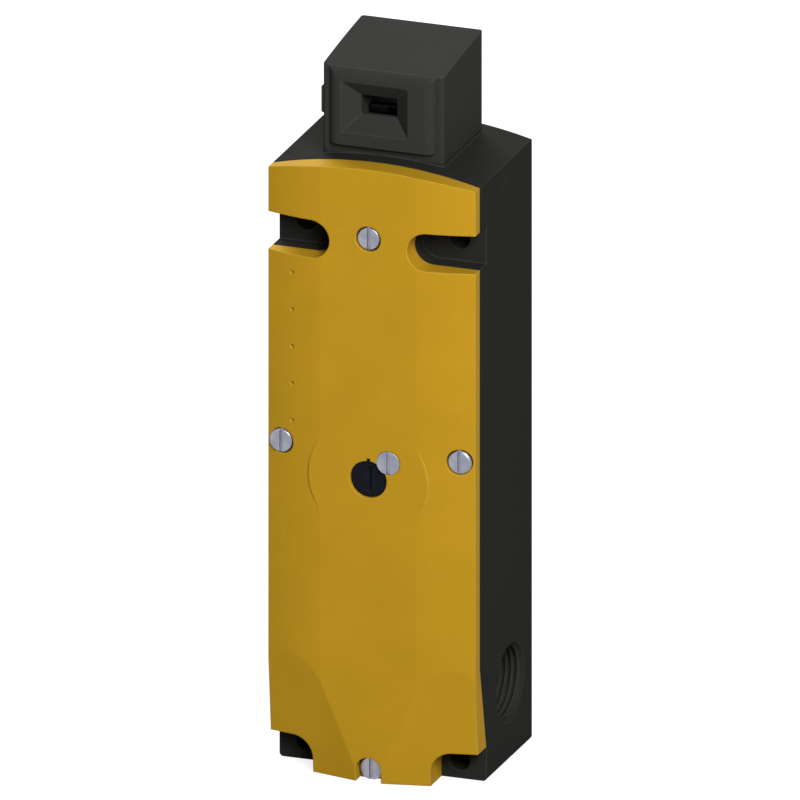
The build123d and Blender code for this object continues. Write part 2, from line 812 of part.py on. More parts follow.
def block(x_span, y_span, z_span, mode=Mode.ADD):
    """Box between these limits, added to or cut from the piece being built."""
    middle = [(low + high) / 2 for low, high in (x_span, y_span, z_span)]
    size = [high - low for low, high in (x_span, y_span, z_span)]
    with Locations(tuple(middle)):
        Box(*size, mode=mode)


def post(centre, radius, low_z, high_z, mode=Mode.ADD):
    """Upright cylinder between two heights, added to or cut from the piece being built."""
    with Locations((*centre, (low_z + high_z) / 2)):
        Cylinder(radius, high_z - low_z, mode=mode)


wire_sides = 6


def coil(centre, mean_radius, wire_radius, low_z, high_z, turns):
    """Compression spring of six-sided wire, standing between two seats."""
    height = high_z - low_z - 2 * wire_radius
    with BuildPart() as spring:
        with BuildLine() as path:
            Helix(height / turns, height, mean_radius, center=(*centre, low_z + wire_radius))
        with BuildSketch(Plane(origin=path.line @ 0, z_dir=path.line % 0)):
            RegularPolygon(wire_radius, wire_sides)
        sweep()
    return spring.part


# Turret seal and the retaining ring that holds the head down
head_axis = (0, head_axis_y)
ring_radius = 12.5
ring_slack = 0.05

with BuildPart() as head_seal:
    post(head_axis, turret_radius, turret_seal_z - turret_seal_cord, turret_seal_z)
    post(
        head_axis,
        turret_radius - turret_seal_depth,
        turret_seal_z - turret_seal_cord,
        turret_seal_z,
        Mode.SUBTRACT,
    )

head_seal.part.label = "head_seal"
export_step(head_seal.part, "parts/head_seal.step")

ring_top = turret_ring_top - ring_slack
ring_bottom = turret_ring_top - turret_ring_height + ring_slack
with BuildPart() as head_ring:
    post(head_axis, ring_radius, ring_bottom, ring_top)
    post(head_axis, turret_radius - turret_groove_depth, ring_bottom, ring_top, Mode.SUBTRACT)

head_ring.part.label = "head_ring"
export_step(head_ring.part, "parts/head_ring.step")

# Key cam: a spiral disc that works the plunger, between two discs that the key turns
key_turn_angle = 60.0
plunger_stroke = 2.5
cam_radius = 7.6
cam_half = 1.5
cam_overlap_angle = 10.0
key_disc_radius = 7.0
key_disc_outer_x = 6.2
notch_half_z = 1.8
notch_floor_radius = 4.3
notch_inner_y = head_axis_y - notch_floor_radius
notch_outer_y = head_axis_y - 2 * key_disc_radius
cam_centre = (head_axis_y, cam_shaft_z)
growth_per_degree = plunger_stroke / key_turn_angle
spiral_sweep = key_turn_angle + 2 * cam_overlap_angle


def key_notch():
    """Cuts the notch that the end of the key drops into."""
    block(
        (-chamber_half, chamber_half),
        (notch_outer_y, notch_inner_y),
        (key_z - notch_half_z, key_z + notch_half_z),
        Mode.SUBTRACT,
    )


with BuildPart() as plunger_cam:
    with BuildSketch(Plane.YZ):
        with BuildLine():
            fall = Spline(
                *spiral(
                    cam_centre,
                    cam_radius + growth_per_degree * cam_overlap_angle,
                    -growth_per_degree * spiral_sweep,
                    -90 - cam_overlap_angle,
                    spiral_sweep,
                )
            )
            rear = (head_axis_y + key_disc_radius, cam_shaft_z)
            Line(fall @ 1, rear)
            over = ThreePointArc(
                rear,
                (head_axis_y, cam_shaft_z + key_disc_radius),
                (head_axis_y - key_disc_radius, cam_shaft_z),
            )
            Line(over @ 1, fall @ 0)
        make_face()
        with Locations(cam_centre):
            Circle(cam_shaft_radius, mode=Mode.SUBTRACT)
    extrude(amount=cam_half, both=True)
    key_notch()

plunger_cam.part.label = "plunger_cam"
export_step(plunger_cam.part, "parts/plunger_cam.step")

for side, name in ((-1, "key_disc_left"), (1, "key_disc_right")):
    with BuildPart() as key_disc:
        with BuildSketch(Plane.YZ.offset(side * cam_half)):
            with Locations(cam_centre):
                Circle(key_disc_radius)
                Circle(cam_shaft_radius, mode=Mode.SUBTRACT)
        extrude(amount=side * (key_disc_outer_x - cam_half))
        key_notch()
    key_disc.part.label = name
    export_step(key_disc.part, f"parts/{name}.step")

with BuildPart() as cam_shaft:
    with BuildSketch(Plane.YZ.offset(-head_half)):
        with Locations(cam_centre):
            Circle(cam_shaft_radius)
    extrude(amount=head_half + cam_shaft_half - running_clearance)

cam_shaft.part.label = "cam_shaft"
export_step(cam_shaft.part, "parts/cam_shaft.step")

# Chassis: a back plate with two shelves that guide the plunger and the release slider
chassis_thickness = 2.0
chassis_front_y = chassis_back_y - chassis_thickness
neck_half = 6.8
shelf_half = 8.0
shelf_thickness = 3.0
high_shelf_rise = 23.0
slider_guide_drop = 25.5
slider_guide_height = 2.0
low_shelf = (deck_z - shelf_thickness, deck_z)
high_shelf = (deck_z + high_shelf_rise, deck_z + high_shelf_rise + shelf_thickness)
slider_guide = (deck_z - slider_guide_drop - slider_guide_height, deck_z - slider_guide_drop)
slider_half = 1.2
slider_slack = 0.1
guide_half = 4.0
guide_web = 2.5
guide_front_y = slider_y[0] - guide_web
plunger_radius = 3.0
bush_radius = 4.5
collar_radius = 5.0
lever_hub_radius = 3.2
lever_hub_clearance = 0.3
lever_pivot_offset = 2.0
lever_pin_radius = 1.5
lever_pivot = (
    -collar_radius - lever_pivot_offset,
    low_shelf[1] + lever_hub_radius + lever_hub_clearance,
)
plate_y = (chassis_front_y, chassis_back_y)

with BuildPart() as chassis:
    block((-chassis_half, chassis_half), plate_y, (chassis_bottom, chassis_top))
    block((-neck_half, neck_half), plate_y, (chassis_top, high_shelf[1]))
    block((-shelf_half, shelf_half), (shelf_front_y, chassis_front_y), low_shelf)
    block((-neck_half, neck_half), (shelf_front_y, chassis_front_y), high_shelf)
    block((-guide_half, guide_half), (guide_front_y, shelf_front_y), low_shelf)
    block((-guide_half, guide_half), (guide_front_y, chassis_front_y), slider_guide)
    block(
        (-slider_half - slider_slack, slider_half + slider_slack),
        (slider_y[0] - slider_slack, slider_y[1] + slider_slack),
        (slider_guide[0], low_shelf[1]),
        Mode.SUBTRACT,
    )
    post(head_axis, bush_radius, *low_shelf, Mode.SUBTRACT)
    post(head_axis, bush_radius, *high_shelf, Mode.SUBTRACT)
    with BuildSketch(facing_front(chassis_back_y)):
        with Locations((0, post_middle_z)):
            with GridLocations(post_pitch_x, post_pitch_z, 2, 2):
                Circle(post_hole_radius)
    extrude(amount=chassis_thickness, mode=Mode.SUBTRACT)
    with BuildSketch(facing_front(chassis_back_y)):
        with Locations(lever_pivot):
            Circle(lever_pin_radius)
    extrude(amount=chassis_thickness, mode=Mode.SUBTRACT)

chassis.part.label = "chassis"
export_step(chassis.part, "parts/chassis.step")

for name, shelf in (("guide_bush_lower", low_shelf), ("guide_bush_upper", high_shelf)):
    with BuildPart() as bush:
        post(head_axis, bush_radius, *shelf)
        post(head_axis, plunger_radius + running_clearance, *shelf, Mode.SUBTRACT)
    bush.part.label = name
    export_step(bush.part, f"parts/{name}.step")

chassis_screw_head = 2.6
chassis_screw_height = 1.4
with BuildPart() as chassis_screws:
    with BuildSketch(facing_front(chassis_front_y)):
        with Locations((0, post_middle_z)):
            with GridLocations(post_pitch_x, post_pitch_z, 2, 2):
                Circle(chassis_screw_head)
    extrude(amount=chassis_screw_height)
    with BuildSketch(facing_front(chassis_front_y)):
        with Locations((0, post_middle_z)):
            with GridLocations(post_pitch_x, post_pitch_z, 2, 2):
                Circle(post_hole_radius)
    extrude(amount=-chassis_thickness - post_height)

chassis_screws.part.label = "chassis_screws"
export_step(chassis_screws.part, "parts/chassis_screws.step")

# Plunger: a guided rod with a thin nose under the cam, a lock collar and a cross bar
plunger_fall = 7.5
plunger_rise = 41.7
plunger_bottom_z = deck_z - plunger_fall
plunger_top_z = deck_z + plunger_rise
cam_gap = 0.3
nose_radius = 1.4
nose_top_z = cam_shaft_z - cam_radius - cam_gap
collar_edge = 0.4
collar_rise = 12.0
collar_height = 4.0
collar_z = (deck_z + collar_rise, deck_z + collar_rise + collar_height)
spigot_radius = 2.0
cross_bar_height = 3.0
cross_bar_z = (plunger_bottom_z - cross_bar_height, plunger_bottom_z)
cross_bar_x = (-4.0, 21.0)
cross_bar_half_y = 2.3
cross_bar_corner = 1.0

with BuildPart() as plunger:
    post(head_axis, plunger_radius, plunger_bottom_z, plunger_top_z)
    post(head_axis, nose_radius, plunger_top_z, nose_top_z - nose_radius)
    with Locations((*head_axis, nose_top_z - nose_radius)):
        Sphere(nose_radius)
    post(head_axis, spigot_radius, cross_bar_z[0], cross_bar_z[1])

plunger.part.label = "plunger"
export_step(plunger.part, "parts/plunger.step")

with BuildPart() as lock_collar:
    post(head_axis, collar_radius, *collar_z)
    post(head_axis, plunger_radius, *collar_z, Mode.SUBTRACT)
    rims = lock_collar.edges().filter_by(GeomType.CIRCLE).sort_by(SortBy.RADIUS)[-2:]
    chamfer(rims, collar_edge)

lock_collar.part.label = "lock_collar"
export_step(lock_collar.part, "parts/lock_collar.step")

with BuildPart() as cross_bar:
    cross_bar_y = (head_axis_y - cross_bar_half_y, head_axis_y + cross_bar_half_y)
    block(cross_bar_x, cross_bar_y, cross_bar_z)
    fillet(cross_bar.edges().filter_by(Axis.Z), cross_bar_corner)
    post(head_axis, spigot_radius, *cross_bar_z, Mode.SUBTRACT)

cross_bar.part.label = "cross_bar"
export_step(cross_bar.part, "parts/cross_bar.step")

plunger_coil_radius = 4.1
plunger_coil_wire = 0.4
plunger_coil_turns = 5
plunger_spring = coil(
    head_axis,
    plunger_coil_radius,
    plunger_coil_wire,
    low_shelf[1],
    collar_z[0],
    plunger_coil_turns,
)
plunger_spring.label = "plunger_spring"
export_step(plunger_spring, "parts/plunger_spring.step")

# Lock lever on its pin, beside the lock collar and over the release slider
lever_half = 1.3
lever_tip_x = 1.5
lock_gap = 0.3
nose_width = 3.0
nose_finger_x = (-collar_radius - lock_gap - nose_width, -collar_radius - lock_gap)
nose_finger_drop = 1.1
nose_finger_height = 3.0
nose_finger_low_z = collar_z[0] - nose_finger_drop
nose_finger_z = (nose_finger_low_z, nose_finger_low_z + nose_finger_height)
finger_reach = 1.7
finger_y = (slider_y[0], head_axis_y + finger_reach)
yoke_clearance = 1.4
yoke_half = (room_half - guide_half) / 2 - yoke_clearance
stem_radius = 1.5
stem_clearance = 0.3
finger_width = 1.8
solenoid_axis = (yoke_half + yoke_clearance - room_half, head_axis_y)
armature_finger_low_x = solenoid_axis[0] + stem_radius + stem_clearance
armature_finger_x = (armature_finger_low_x, armature_finger_low_x + finger_width)
armature_finger_half = 1.0
armature_finger_z = (lever_pivot[1] - armature_finger_half, lever_pivot[1] + armature_finger_half)

with BuildPart() as lock_lever:
    with BuildSketch(facing_front(slider_y[1])):
        with Locations(lever_pivot):
            Circle(lever_hub_radius)
        with Locations(((armature_finger_x[0] + lever_tip_x) / 2, lever_pivot[1])):
            Rectangle(lever_tip_x - armature_finger_x[0], 2 * lever_half)
        with Locations((sum(nose_finger_x) / 2, (lever_pivot[1] + nose_finger_z[1]) / 2)):
            Rectangle(nose_finger_x[1] - nose_finger_x[0], nose_finger_z[1] - lever_pivot[1])
    extrude(amount=slider_depth)
    block(nose_finger_x, finger_y, nose_finger_z)
    block(armature_finger_x, finger_y, armature_finger_z)
    with BuildSketch(facing_front(slider_y[1])):
        with Locations(lever_pivot):
            Circle(lever_pin_radius + running_clearance)
    extrude(amount=slider_depth, mode=Mode.SUBTRACT)

lock_lever.part.label = "lock_lever"
export_step(lock_lever.part, "parts/lock_lever.step")

lever_pin_proud = 1.0
with BuildPart() as lever_pin:
    with BuildSketch(facing_front(chassis_back_y)):
        with Locations(lever_pivot):
            Circle(lever_pin_radius)
    extrude(amount=chassis_back_y - slider_y[0] + lever_pin_proud)

lever_pin.part.label = "lever_pin"
export_step(lever_pin.part, "parts/lever_pin.step")

# Release slider between the rotor's lobe and the lever
slider_gap = 0.2
slider_tip_radius = 1.08
slider_tip_z = release_z + lobe_radius + slider_gap
slider_top_z = lever_pivot[1] - lever_half - slider_gap

with BuildPart() as release_slider:
    block((-slider_half, slider_half), slider_y, (slider_tip_z, slider_top_z))
    tips = release_slider.edges().filter_by(Axis.Y).group_by(Axis.Z)[0]
    fillet(tips, slider_tip_radius)

release_slider.part.label = "release_slider"
export_step(release_slider.part, "parts/release_slider.step")

# Solenoid: yoke, bobbin, winding, fixed core and sprung armature
yoke_fall = 7.5
yoke_height = 46.0
yoke_z = (deck_z - yoke_fall - yoke_height, deck_z - yoke_fall)
yoke_plate = 2.0
flange_clearance = 0.2
winding_inset = 0.4
winding_build = 3.2
bobbin_wall = 0.8
bobbin_flange = yoke_half - flange_clearance
flange_height = 1.2
winding_radius = bobbin_flange - winding_inset
bobbin_tube = winding_radius - winding_build
bobbin_bore = bobbin_tube - bobbin_wall
armature_slack = 0.05
core_height = 14.0
core_top_z = yoke_z[0] + yoke_plate + core_height
armature_gap = 1.2
armature_top_clearance = 0.5
armature_top_z = yoke_z[1] - yoke_plate - armature_top_clearance
stem_flange_radius = 3.2
stem_flange_height = 1.2
stem_flange_gap = 0.4
stem_flange_top_z = armature_finger_z[0] - stem_flange_gap
stem_collar_low_z = armature_finger_z[1] + stem_flange_gap
stem_flange_z = (stem_flange_top_z - stem_flange_height, stem_flange_top_z)
stem_collar_z = (stem_collar_low_z, stem_collar_low_z + stem_flange_height)
stem_top_z = stem_collar_z[1]
coil_room = (yoke_z[0] + yoke_plate, yoke_z[1] - yoke_plate)
winding_room = (coil_room[0] + flange_height, coil_room[1] - flange_height)

with BuildPart() as solenoid_yoke:
    yoke_x = (solenoid_axis[0] - yoke_half, solenoid_axis[0] + yoke_half)
    yoke_front_y = solenoid_axis[1] - yoke_half
    block(yoke_x, (yoke_front_y, chassis_front_y), yoke_z)
    block(yoke_x, (yoke_front_y, chassis_front_y - yoke_plate), coil_room, Mode.SUBTRACT)
    post(solenoid_axis, stem_radius + stem_clearance, coil_room[1], yoke_z[1], Mode.SUBTRACT)

solenoid_yoke.part.label = "solenoid_yoke"
export_step(solenoid_yoke.part, "parts/solenoid_yoke.step")

with BuildPart() as coil_bobbin:
    post(solenoid_axis, bobbin_tube, *coil_room)
    post(solenoid_axis, bobbin_flange, coil_room[0], winding_room[0])
    post(solenoid_axis, bobbin_flange, winding_room[1], coil_room[1])
    post(solenoid_axis, bobbin_bore, *coil_room, Mode.SUBTRACT)

coil_bobbin.part.label = "coil_bobbin"
export_step(coil_bobbin.part, "parts/coil_bobbin.step")

with BuildPart() as coil_winding:
    post(solenoid_axis, winding_radius, *winding_room)
    post(solenoid_axis, bobbin_tube, *winding_room, Mode.SUBTRACT)

coil_winding.part.label = "coil_winding"
export_step(coil_winding.part, "parts/coil_winding.step")

with BuildPart() as fixed_core:
    post(solenoid_axis, bobbin_bore - armature_slack, coil_room[0], core_top_z)

fixed_core.part.label = "fixed_core"
export_step(fixed_core.part, "parts/fixed_core.step")

with BuildPart() as armature:
    post(solenoid_axis, bobbin_bore - armature_slack, core_top_z + armature_gap, armature_top_z)
    post(solenoid_axis, stem_radius, armature_top_z, stem_top_z)
    post(solenoid_axis, stem_flange_radius, *stem_flange_z)
    post(solenoid_axis, stem_flange_radius, *stem_collar_z)

armature.part.label = "armature"
export_step(armature.part, "parts/armature.step")

armature_coil_radius = 2.4
armature_coil_wire = 0.35
armature_coil_turns = 4
armature_spring = coil(
    solenoid_axis,
    armature_coil_radius,
    armature_coil_wire,
    yoke_z[1],
    stem_flange_z[0],
    armature_coil_turns,
)
armature_spring.label = "armature_spring"
export_step(armature_spring, "parts/armature_spring.step")

# Two contact blocks, each with a tappet that carries a bridge over two fixed contacts
contact_clearance = 1.5
contact_gap = 1.0
contact_room = (guide_half + contact_clearance, room_half - contact_clearance)
contact_half = (contact_room[1] - contact_room[0] - contact_gap) / 4
contact_centres = (contact_room[0] + contact_half, contact_room[1] - contact_half)
contact_reach = 8.6
contact_front_y = head_axis_y - contact_reach
contact_fall = 13.5
contact_height = 34.0
contact_z = (deck_z - contact_fall - contact_height, deck_z - contact_fall)
cavity_side_wall = 1.2
cavity_end_wall = 2.0
cavity_half = contact_half - cavity_side_wall
cavity_y = (contact_front_y + cavity_end_wall, chassis_front_y - cavity_end_wall)
cavity_floor = 8.0
cavity_roof = 4.0
cavity_z = (contact_z[0] + cavity_floor, contact_z[1] - cavity_roof)
tappet_side_gap = 0.8
tappet_half = cavity_half - tappet_side_gap
tappet_slack = 0.1
tappet_height = 16.8
tappet_gap = 0.2
tappet_top_z = cross_bar_z[0] - tappet_gap
tappet_z = (tappet_top_z - tappet_height, tappet_top_z)
bridge_rise = 2.0
bridge_height = 1.0
bridge_z = (tappet_z[0] + bridge_rise, tappet_z[0] + bridge_rise + bridge_height)
bridge_half_x = 1.2
bridge_half_y = 6.5
strip = 0.8
strip_half = 1.8
upper_strip_drop = 4.0
upper_strip_z = cavity_z[1] - upper_strip_drop
strip_tip_gap = 4.0
strip_tip_y = (head_axis_y - strip_tip_gap, head_axis_y + strip_tip_gap)
nose_depth = 3.5
strip_set_back = 0.3
terminal_nose_y = contact_front_y - nose_depth
strip_front_y = terminal_nose_y + strip_set_back
nose_height = 5.0
terminal_y = contact_front_y - nose_depth / 2
terminal_head = 1.4
terminal_head_height = 1.6
terminal_shank = 0.9
terminal_shank_length = 4.0
lower_strip_z = cavity_z[0]
contact_coil_radius = 1.5
contact_coil_wire = 0.3
contact_coil_turns = 4

for number, centre_x in enumerate(contact_centres, start=1):
    strip_x = (centre_x - strip_half, centre_x + strip_half)
    body_x = (centre_x - contact_half, centre_x + contact_half)
    tappet_x = (centre_x - tappet_half, centre_x + tappet_half)
    tappet_y = (head_axis_y - tappet_half, head_axis_y + tappet_half)
    with BuildPart() as fixed_contacts:
        block(strip_x, (strip_front_y, strip_tip_y[0]), (upper_strip_z, upper_strip_z + strip))
        block(strip_x, (strip_tip_y[1], cavity_y[1]), (upper_strip_z, upper_strip_z + strip))
        block(strip_x, (cavity_y[1] - strip, cavity_y[1]), (lower_strip_z, upper_strip_z + strip))
        block(strip_x, (strip_front_y, cavity_y[1]), (lower_strip_z, lower_strip_z + strip))
        for strip_z in (upper_strip_z, lower_strip_z):
            post((centre_x, terminal_y), terminal_shank, strip_z, strip_z + strip, Mode.SUBTRACT)
    fixed_contacts.part.label = f"fixed_contacts_{number}"
    export_step(fixed_contacts.part, f"parts/fixed_contacts_{number}.step")

    with BuildPart() as contact_block:
        block(body_x, (contact_front_y, chassis_front_y), contact_z)
        for strip_z in (upper_strip_z, lower_strip_z):
            block(body_x, (terminal_nose_y, contact_front_y), (strip_z - nose_height, strip_z))
        block((centre_x - cavity_half, centre_x + cavity_half), cavity_y, cavity_z, Mode.SUBTRACT)
        block(
            (tappet_x[0] - tappet_slack, tappet_x[1] + tappet_slack),
            (tappet_y[0] - tappet_slack, tappet_y[1] + tappet_slack),
            (cavity_z[1], contact_z[1]),
            Mode.SUBTRACT,
        )
        for strip_z in (upper_strip_z, lower_strip_z):
            block(strip_x, (contact_front_y, cavity_y[0]), (strip_z, strip_z + strip), Mode.SUBTRACT)
            post((centre_x, terminal_y), terminal_shank, strip_z - nose_height, strip_z, Mode.SUBTRACT)
    contact_block.part.label = f"contact_block_{number}"
    export_step(contact_block.part, f"parts/contact_block_{number}.step")

    with BuildPart() as contact_tappet:
        block(tappet_x, tappet_y, tappet_z)
        block((centre_x - bridge_half_x, centre_x + bridge_half_x), tappet_y, bridge_z, Mode.SUBTRACT)
    contact_tappet.part.label = f"contact_tappet_{number}"
    export_step(contact_tappet.part, f"parts/contact_tappet_{number}.step")

    with BuildPart() as contact_bridge:
        block(
            (centre_x - bridge_half_x, centre_x + bridge_half_x),
            (head_axis_y - bridge_half_y, head_axis_y + bridge_half_y),
            bridge_z,
        )
    contact_bridge.part.label = f"contact_bridge_{number}"
    export_step(contact_bridge.part, f"parts/contact_bridge_{number}.step")

    contact_spring = coil(
        (centre_x, head_axis_y),
        contact_coil_radius,
        contact_coil_wire,
        lower_strip_z + strip,
        tappet_z[0],
        contact_coil_turns,
    )
    contact_spring.label = f"contact_spring_{number}"
    export_step(contact_spring, f"parts/contact_spring_{number}.step")

    with BuildPart() as terminal_screws:
        for strip_z in (upper_strip_z, lower_strip_z):
            top = strip_z + strip
            post((centre_x, terminal_y), terminal_head, top, top + terminal_head_height)
            post((centre_x, terminal_y), terminal_shank, top - terminal_shank_length, top)
    terminal_screws.part.label = f"terminal_screws_{number}"
    export_step(terminal_screws.part, f"parts/terminal_screws_{number}.step")

# Terminal block for the solenoid's supply, on the back wall under the chassis
supply_half = 8.0
supply_inset = 4.0
supply_depth = 10.0
supply_gap = 0.5
supply_height = 10.0
supply_screw_drop = 4.0
supply_top_z = chassis_bottom - supply_gap
supply_z = (supply_top_z - supply_height, supply_top_z)
supply_screw_z = supply_top_z - supply_screw_drop
supply_wire_depth = 3.2
supply_wire_length = 7.5
supply_wire_radius = 1.2
supply_head_radius = 1.7
supply_head_height = 1.2
supply_slot_width = 0.5
supply_slot_depth = 0.5
supply_shank_radius = 0.9
supply_shank_length = 6.5
supply_middle_x = supply_inset + supply_half - room_half
supply_front_y = room_back_y - supply_depth
supply_screw_places = (
    (supply_middle_x - supply_half / 2, supply_screw_z),
    (supply_middle_x + supply_half / 2, supply_screw_z),
)

with BuildPart() as supply_terminals:
    supply_x = (supply_middle_x - supply_half, supply_middle_x + supply_half)
    block(supply_x, (supply_front_y, room_back_y), supply_z)
    with BuildSketch(facing_front(supply_front_y)):
        with Locations(*supply_screw_places):
            Circle(supply_shank_radius)
    extrude(amount=-supply_shank_length, mode=Mode.SUBTRACT)
    for screw_x, screw_z in supply_screw_places:
        wire_centre = (screw_x, supply_front_y + supply_wire_depth)
        wire_top_z = supply_z[0] + supply_wire_length
        post(wire_centre, supply_wire_radius, supply_z[0], wire_top_z, Mode.SUBTRACT)

supply_terminals.part.label = "supply_terminals"
export_step(supply_terminals.part, "parts/supply_terminals.step")

with BuildPart() as supply_screws:
    with BuildSketch(facing_front(supply_front_y)):
        with Locations(*supply_screw_places):
            Circle(supply_head_radius)
    extrude(amount=supply_head_height)
    with BuildSketch(facing_front(supply_front_y - supply_head_height)):
        with Locations(*supply_screw_places):
            Rectangle(supply_slot_width, 2 * supply_head_radius)
    extrude(amount=-supply_slot_depth, mode=Mode.SUBTRACT)
    with BuildSketch(facing_front(supply_front_y)):
        with Locations(*supply_screw_places):
            Circle(supply_shank_radius)
    extrude(amount=-supply_shank_length)

supply_screws.part.label = "supply_screws"
export_step(supply_screws.part, "parts/supply_screws.step")
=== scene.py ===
# %% [markdown]
# # A safety interlock switch, dressed for the camera
# The switch is a black moulded case with a yellow front cover, four zinc plated screws,
# a release disc and a black head with a funnel for a separate key.
# The frame already holds every rigid piece at its real size. This lesson gives each one
# a finish, adds the threads that the frame leaves out, and sets up a plain studio.

# %% Load the frame
import math

import bpy
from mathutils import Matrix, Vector


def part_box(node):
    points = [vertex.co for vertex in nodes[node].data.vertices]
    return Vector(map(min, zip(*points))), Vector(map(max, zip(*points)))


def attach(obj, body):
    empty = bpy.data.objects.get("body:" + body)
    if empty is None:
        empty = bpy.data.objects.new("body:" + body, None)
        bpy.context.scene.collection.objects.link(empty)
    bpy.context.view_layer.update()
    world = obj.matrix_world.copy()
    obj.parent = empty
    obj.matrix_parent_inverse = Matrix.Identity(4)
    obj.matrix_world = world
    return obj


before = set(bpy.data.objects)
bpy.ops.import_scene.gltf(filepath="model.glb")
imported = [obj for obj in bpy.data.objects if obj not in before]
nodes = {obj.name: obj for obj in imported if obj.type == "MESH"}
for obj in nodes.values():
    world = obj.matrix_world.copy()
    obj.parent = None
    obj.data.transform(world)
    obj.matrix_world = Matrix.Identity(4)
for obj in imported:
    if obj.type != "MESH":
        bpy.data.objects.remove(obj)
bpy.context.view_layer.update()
print("pieces in the frame:", len(nodes))

# %% [markdown]
# ## Shader maths as plain expressions
# A material is a net of small nodes, which soon gets hard to read. One class wraps a socket
# so that `1 - mask` or `mask * 0.2` adds the Math node by itself.


# %% The socket class
class Value:
    """A number that varies over the surface, held as the output of a node."""

    def __init__(self, net, socket):
        self.net = net
        self.socket = socket

    def maths(self, operation, first, second):
        return self.net.node("ShaderNodeMath", {"operation": operation}, {0: first, 1: second})[0]

    def __add__(self, other):
        return self.maths("ADD", self, other)

    def __radd__(self, other):
        return self.maths("ADD", other, self)

    def __sub__(self, other):
        return self.maths("SUBTRACT", self, other)

    def __rsub__(self, other):
        return self.maths("SUBTRACT", other, self)

    def __mul__(self, other):
        return self.maths("MULTIPLY", self, other)

    def __rmul__(self, other):
        return self.maths("MULTIPLY", other, self)


class Outputs:
    """The outputs of a node, picked by name or number."""

    def __init__(self, net, made):
        self.net = net
        self.made = made

    def __getitem__(self, key):
        return Value(self.net, self.made.outputs[key])


print("sockets add, subtract and multiply")

# %% [markdown]
# ## One maker for every node
# Any other node comes from one method, which takes the node's type, its settings and the values
# of its sockets. Patterns read Object coordinates, so they stay on the piece when it moves.


# %% The material maker
class Finish:
    """One material under construction, with its Principled shader."""

    def __init__(self, name, metallic=0.0, specular=0.5):
        self.material = bpy.data.materials.new(name)
        self.material.use_nodes = True
        self.tree = self.material.node_tree
        self.shader = self.tree.nodes["Principled BSDF"]
        self.shader.inputs["Metallic"].default_value = metallic
        self.shader.inputs["Specular IOR Level"].default_value = specular
        self.place = self.node("ShaderNodeTexCoord")["Object"]

    def node(self, kind, settings=None, inputs=None):
        """Add a node, apply its settings, then fill its sockets with values or links."""
        made = self.tree.nodes.new(kind)
        for key, value in (settings or {}).items():
            setattr(made, key, value)
        for key, value in (inputs or {}).items():
            self.feed(made.inputs[key], value)
        return Outputs(self, made)

    def feed(self, socket, value):
        if isinstance(value, Value):
            self.tree.links.new(value.socket, socket)
        else:
            socket.default_value = value

    def set(self, socket_name, value):
        self.feed(self.shader.inputs[socket_name], value)

    def noise(self, size, detail=2.0, roughness=0.5):
        """Smooth random value whose lumps are about this many metres across."""
        inputs = {"Vector": self.place, "Scale": 1.0 / size, "Detail": detail, "Roughness": roughness}
        return self.node("ShaderNodeTexNoise", None, inputs)["Fac"]

    def between(self, value, low, high):
        """Stretch a value so that low becomes 0 and high becomes 1, held inside those limits."""
        inputs = {"Value": value, "From Min": low, "From Max": high, "To Min": 0.0, "To Max": 1.0}
        return self.node("ShaderNodeMapRange", {"clamp": True}, inputs)["Result"]

    def mix(self, mask, first, second):
        """Colour that goes from the first to the second as the mask rises."""
        inputs = {"Factor": mask, 6: first, 7: second}
        return self.node("ShaderNodeMix", {"data_type": "RGBA"}, inputs)[2]


def rgb(*levels):
    """A colour read as a screen shows it, 0 to 255, in the linear values that shaders use."""
    shares = [level / 255 for level in levels]
    linear = [s / 12.92 if s < 0.04 else ((s + 0.055) / 1.055) ** 2.4 for s in shares]
    return (*linear, 1.0)


def scaled(colour, gain):
    """The same colour, darker or brighter."""
    return (*(min(v * gain, 1.0) for v in colour[:3]), 1.0)


print("black in linear values:", [round(v, 4) for v in rgb(43, 43, 41)])

# %% [markdown]
# ## Soft edges, worn edges and painted edge highlights
# A moulded part has no sharp corner: the tool that shapes it leaves a small round, and hands
# and spanners polish it brighter. The Bevel node bends the normal near an edge, which gives the
# round without a single extra face. Where that bent normal differs from the plain one there is
# an edge, so the same node also tells the colour and the roughness where to look worn; the lighter
# edge colour is partly that wear and partly a painted highlight.


# %% Edge tools shared by the finishes
def rounded_normal(finish, radius):
    """Normal that bends near an edge, as if the edge were rounded by this radius."""
    return finish.node("ShaderNodeBevel", {"samples": 6}, {"Radius": radius})["Normal"]


def edge_mask(finish, soft):
    """Mask that is 1 on edges and 0 on flat ground."""
    flat = finish.node("ShaderNodeNewGeometry")["Normal"]
    settings = {"operation": "DOT_PRODUCT"}
    facing = finish.node("ShaderNodeVectorMath", settings, {0: soft, 1: flat})["Value"]
    return finish.between(1 - facing, 0.01, 0.12)


def add_bump(finish, height, depth, soft):
    """Lift the surface by the height value, on top of the rounded normal."""
    inputs = {"Height": height, "Distance": depth, "Strength": 1.0, "Normal": soft}
    finish.set("Normal", finish.node("ShaderNodeBump", None, inputs)["Normal"])


print("edge tools are ready")

# %% [markdown]
# ## Moulded plastic
# The case, the cover and the head come out of steel moulds whose faces are spark eroded, so the
# plastic has a fine, even grain that scatters light. A clean colour alone looks like a toy.
# Three scales of noise do the work: the grain as bump and gloss, a cloudy tone a few
# centimetres wide, and rare small scuffs. Edges are a little lighter and a little glossier; the
# lighter edge colour is partly wear and partly a painted highlight.
# The black pieces mirror very little, or the white studio would lay a grey veil over them.

# %% Make the moulded plastics
grain_size = 0.00045
cloud_size = 0.02
smear_size = 0.006
cloud_shade = 0.93
speckle_share = 0.06
scuff_share = 0.08
# Share of the lighter edge colour: partly wear, partly a painted highlight.
edge_wear_and_highlight_share = 0.40
case_edge = 0.0005
small_edge = 0.0003


